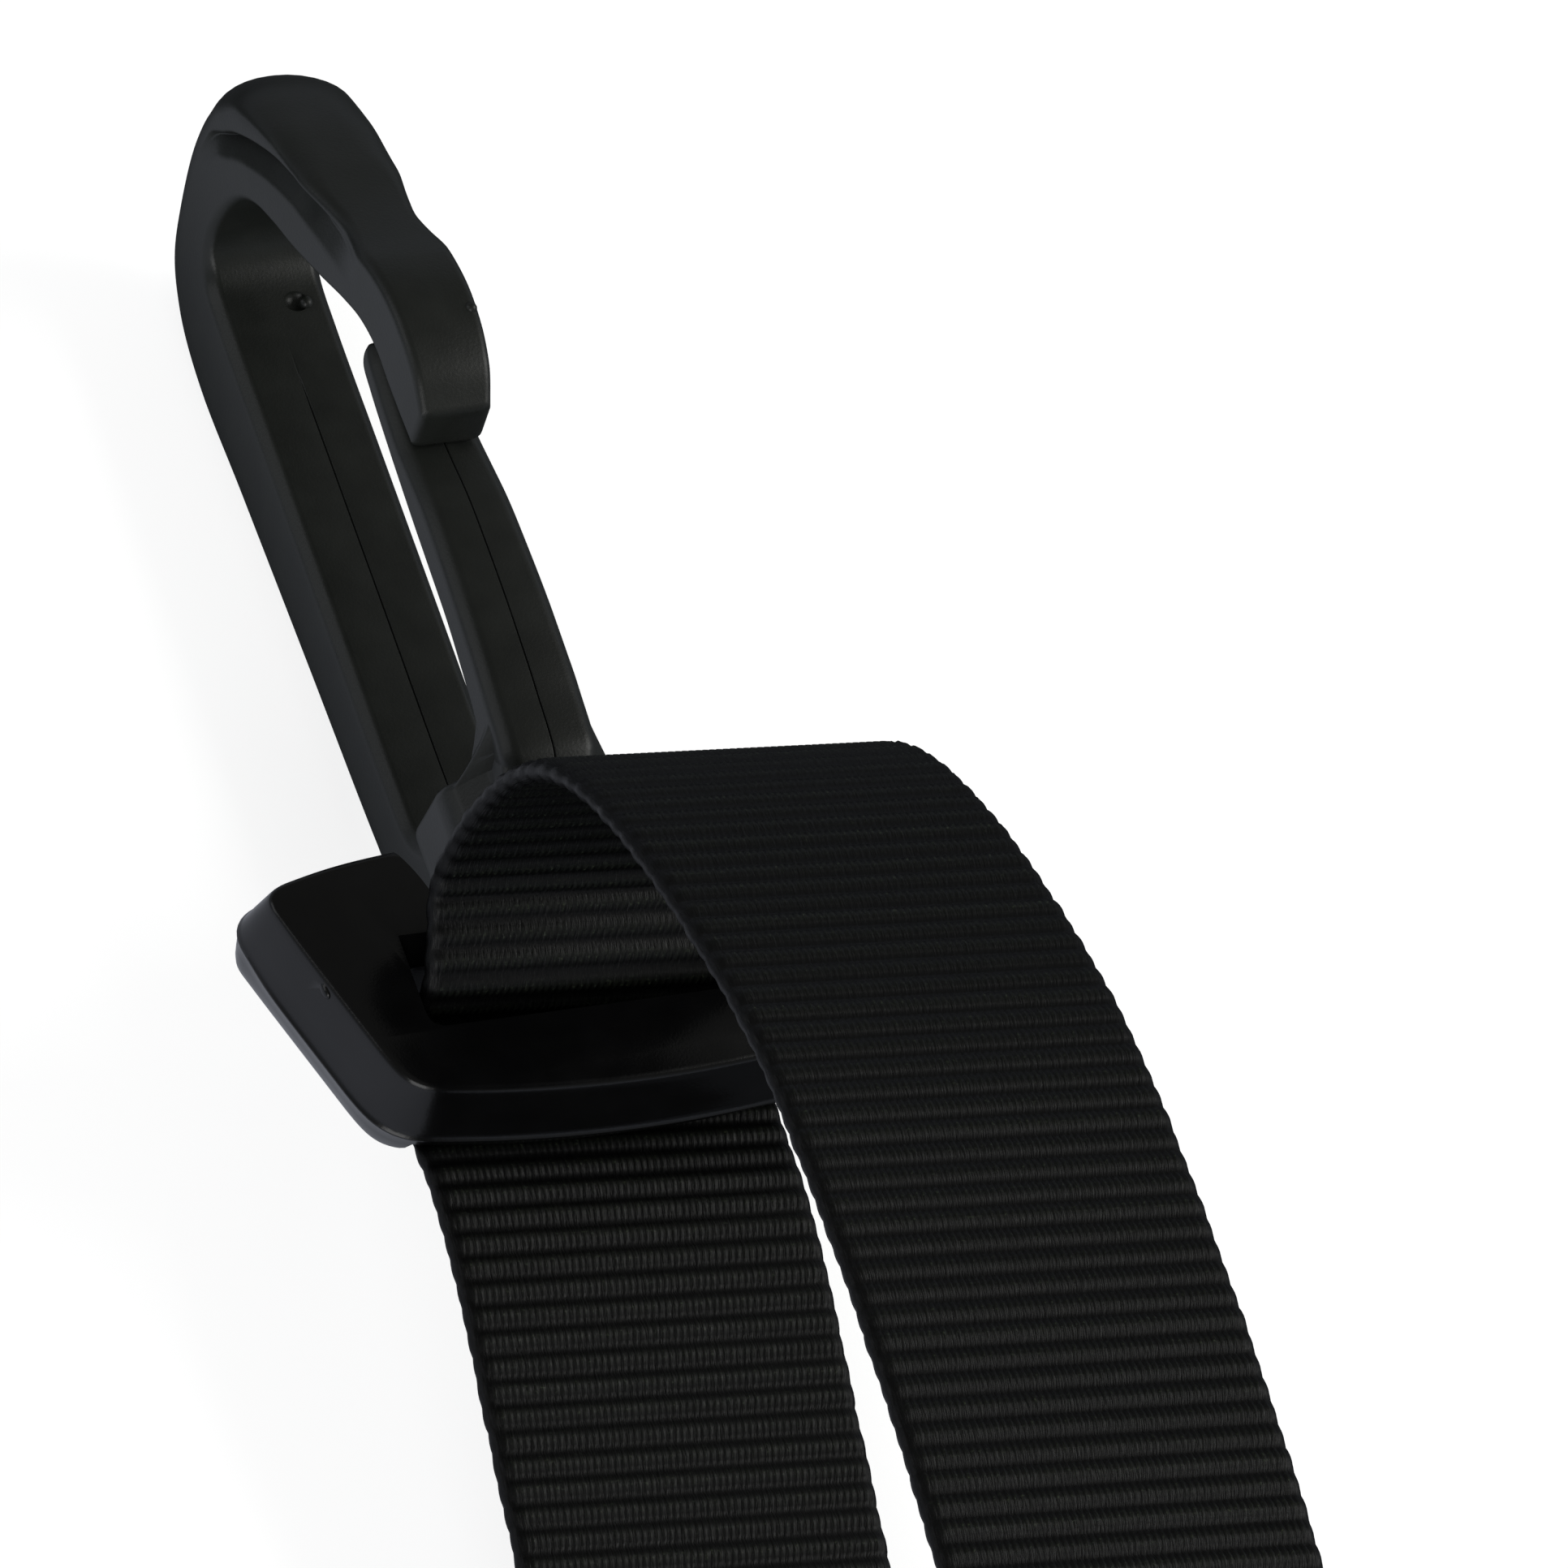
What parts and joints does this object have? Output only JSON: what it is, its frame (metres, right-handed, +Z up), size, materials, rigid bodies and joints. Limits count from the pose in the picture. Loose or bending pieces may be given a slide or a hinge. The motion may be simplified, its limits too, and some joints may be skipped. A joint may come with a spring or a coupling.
{
  "type": "swivel snap hook on webbing loop",
  "caption": "Plastic snap hook with a spring gate, turning in a flat slotted base, on a loop of ribbed webbing.",
  "frame": {"origin": "on the surface the object lies on, under the middle of its bounding box", "axes": "+X across the webbing, +Y from the webbing loop towards the tip of the hook, +Z up, square to the base's top face"},
  "size_m": [0.043, 0.184, 0.0576],
  "materials": {
    "base_moulding": "polished black",
    "hook_moulding": "satin black",
    "webbing": "ribbed black weave",
    "thread": "black thread"
  },
  "bodies": {
    "base": {"swivel_base": "base_moulding", "webbing_loop": "webbing", "lap_stitching": "thread"},
    "hook": {"hook_frame": "hook_moulding"},
    "gate": {"spring_gate": "hook_moulding"}
  },
  "joints": [
    {"name": "hook_swivel", "type": "hinge", "parent": "base", "child": "hook", "pos_m": [0, 0.0315, 0.01551], "axis": [0, 1, 0], "continuous": true},
    {"name": "gate_spring", "type": "hinge", "parent": "hook", "child": "gate", "pos_m": [0, 0.04413, 0.02151], "axis": [-1, 0, 0], "range_deg": [0, 22], "stiffness_Nm_per_rad": 0.05, "springref_deg": -2.86}
  ]
}
